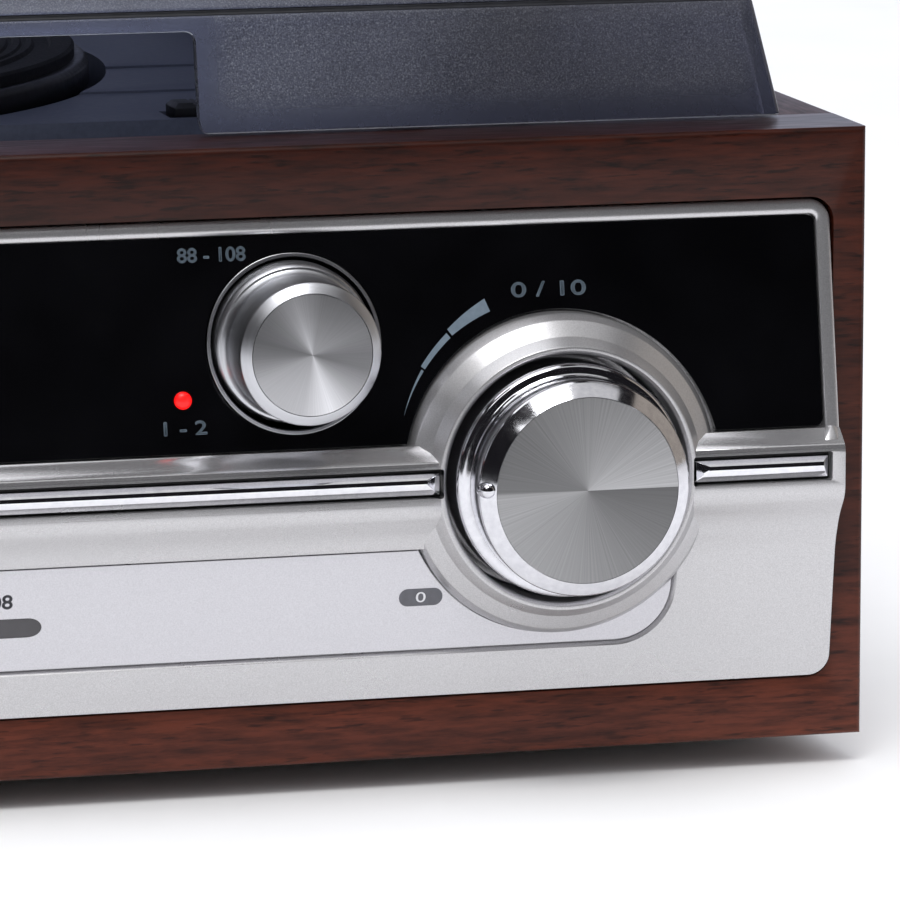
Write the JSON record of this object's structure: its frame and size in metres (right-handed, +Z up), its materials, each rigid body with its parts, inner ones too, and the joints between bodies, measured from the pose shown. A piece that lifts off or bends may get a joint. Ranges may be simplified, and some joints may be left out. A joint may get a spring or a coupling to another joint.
{
  "type": "record player",
  "caption": "Wooden record player with smoky hinged lid, silver front with black dial window, large round knobs, tuning dial and built-in loudspeakers.",
  "frame": {"origin": "middle of the whole object in X and Y, on the surface that its feet stand on", "axes": "+X to the right seen from the front, +Y from the front to the back, +Z up; the knobs face -Y"},
  "size_m": [0.344, 0.331, 0.147],
  "materials": {
    "wood_veneer": "satin dark walnut foil",
    "back_fibreboard": "dark painted fibreboard",
    "pine_block": "raw pine",
    "screw_steel": "zinc plated",
    "foot_rubber": "matt",
    "silver_panel": "satin silver paint",
    "window_black": "high gloss acrylic",
    "dial_plate": "fine satin",
    "chrome_trim": "polished",
    "knob_chrome": "polished",
    "knob_insert": "spun face",
    "shaft_steel": "turned",
    "control_body": "pressed",
    "board_green": "solder mask",
    "film_case": "milky plastic",
    "cord_thread": "waxed",
    "black_moulding": "fine texture",
    "pointer_red": "satin",
    "lamp_red": "clear red",
    "deck_plastic": "fine texture",
    "platter_plastic": "semi gloss",
    "mat_rubber": "ribbed",
    "spindle_steel": "ground",
    "bearing_brass": "turned",
    "belt_rubber": "ground",
    "arm_metal": "satin",
    "cartridge_black": "gloss",
    "stylus_red": "gloss",
    "lid_smoke": "frosted smoke",
    "hinge_steel": "nickel plated",
    "speaker_black": "black",
    "grille_black": "matt black",
    "transformer_core": "varnished laminations"
  },
  "bodies": {
    "cabinet": {"front_board": "wood_veneer", "left_side_board": "wood_veneer", "right_side_board": "wood_veneer", "back_board": "back_fibreboard", "bottom_board": "back_fibreboard", "corner_blocks": "pine_block", "cabinet_screws": "screw_steel", "feet": "foot_rubber", "front_panel": "silver_panel", "display_window": "window_black", "dial_plate": "dial_plate", "chrome_strips": "chrome_trim", "panel_screws": "screw_steel", "function_switch": "control_body", "volume_pot": "control_body", "radio_board": "board_green", "tuning_ring": "chrome_trim", "tuning_capacitor": "film_case", "dial_cord": "cord_thread", "dial_frame": "black_moulding", "stereo_led": "lamp_red", "deck": "deck_plastic", "spindle_bearing": "bearing_brass", "drive_belt": "belt_rubber", "drive_motor": "control_body", "tonearm_base": "black_moulding", "arm_rest": "black_moulding", "hinge_bases": "hinge_steel", "speakers": "speaker_black", "speaker_grilles": "grille_black", "main_board": "board_green", "transformer": "transformer_core", "jack_plate": "black_moulding", "mains_inlet": "black_moulding"},
    "lid": {"lid": "lid_smoke", "hinge_arms": "hinge_steel"},
    "platter": {"platter": "platter_plastic", "platter_mat": "mat_rubber", "spindle": "spindle_steel"},
    "pulley": {"motor_pulley": "bearing_brass"},
    "arm_turret": {"arm_yoke": "black_moulding"},
    "tonearm": {"arm_tube": "arm_metal", "headshell": "black_moulding", "cartridge": "cartridge_black", "stylus": "stylus_red"},
    "lift_bar": {"lift_bar": "black_moulding"},
    "cue_lever": {"cue_lever": "black_moulding"},
    "volume_control": {"volume_knob": "knob_chrome", "volume_insert": "knob_insert", "volume_shaft": "shaft_steel"},
    "function_control": {"function_knob": "knob_chrome", "function_insert": "knob_insert", "function_shaft": "shaft_steel"},
    "tuning_control": {"tuning_knob": "knob_chrome", "tuning_insert": "knob_insert", "tuning_shaft": "shaft_steel"},
    "tuning_drum": {"tuning_drum": "film_case"},
    "dial_pointer": {"dial_pointer": "pointer_red"},
    "speed_selector": {"speed_selector": "black_moulding"},
    "adaptor_45": {"adaptor_45": "black_moulding"}
  },
  "joints": [
    {"name": "lid_hinge", "type": "hinge", "parent": "cabinet", "child": "lid", "pos_m": [0, 0.16, 0.1065], "axis": [-1, 0, 0], "range_deg": [0, 72]},
    {"name": "platter_spin", "type": "hinge", "parent": "cabinet", "child": "platter", "pos_m": [-0.024, 0.006, 0.105], "axis": [0, 0, -1], "continuous": true},
    {"name": "motor_spin", "type": "hinge", "parent": "cabinet", "child": "pulley", "pos_m": [-0.09322, -0.04247, 0.095], "axis": [0, 0, -1], "continuous": true},
    {"name": "tonearm_swing", "type": "hinge", "parent": "cabinet", "child": "arm_turret", "pos_m": [0.126, 0.091, 0.124], "axis": [0, 0, -1], "range_deg": [0, 45]},
    {"name": "tonearm_lift", "type": "hinge", "parent": "arm_turret", "child": "tonearm", "pos_m": [0.126, 0.091, 0.124], "axis": [-1, 0, 0], "range_deg": [0, 2.4]},
    {"name": "lift_bar_slide", "type": "slide", "parent": "cabinet", "child": "lift_bar", "axis": [0, 0, 1], "range_m": [0, 0.0012]},
    {"name": "cue_lever_turn", "type": "hinge", "parent": "cabinet", "child": "cue_lever", "pos_m": [0.144, 0.077, 0.109], "axis": [-1, 0, 0], "range_deg": [0, 60]},
    {"name": "volume_turn", "type": "hinge", "parent": "cabinet", "child": "volume_control", "pos_m": [0.1196, -0.145, 0.0512], "axis": [0, 1, 0], "range_deg": [-40, 260]},
    {"name": "function_turn", "type": "hinge", "parent": "cabinet", "child": "function_control", "pos_m": [-0.1196, -0.145, 0.0512], "axis": [0, 1, 0], "range_deg": [-30, 30]},
    {"name": "tuning_turn", "type": "hinge", "parent": "cabinet", "child": "tuning_control", "pos_m": [0.0762, -0.145, 0.07385], "axis": [0, 1, 0], "range_deg": [-450, 450]},
    {"name": "drum_turn", "type": "hinge", "parent": "cabinet", "child": "tuning_drum", "pos_m": [0.03, -0.137, 0.063], "axis": [0, 1, 0], "range_deg": [-90, 90]},
    {"name": "pointer_slide", "type": "slide", "parent": "cabinet", "child": "dial_pointer", "axis": [1, 0, 0], "range_m": [-0.033, 0.033]},
    {"name": "speed_slide", "type": "slide", "parent": "cabinet", "child": "speed_selector", "axis": [1, 0, 0], "range_m": [0, 0.02]},
    {"name": "adaptor_lift", "type": "slide", "parent": "cabinet", "child": "adaptor_45", "axis": [0, 0, 1], "range_m": [0, 0.012]}
  ],
  "couplings": [
    {"joint": "motor_spin", "follows": "platter_spin", "ratio": 14.8},
    {"joint": "lift_bar_slide", "follows": "tonearm_lift", "m_per_rad": 0.0285},
    {"joint": "cue_lever_turn", "follows": "tonearm_lift", "ratio": 25},
    {"joint": "drum_turn", "follows": "tuning_turn", "ratio": 0.2},
    {"joint": "pointer_slide", "follows": "tuning_turn", "m_per_rad": -0.0042}
  ]
}
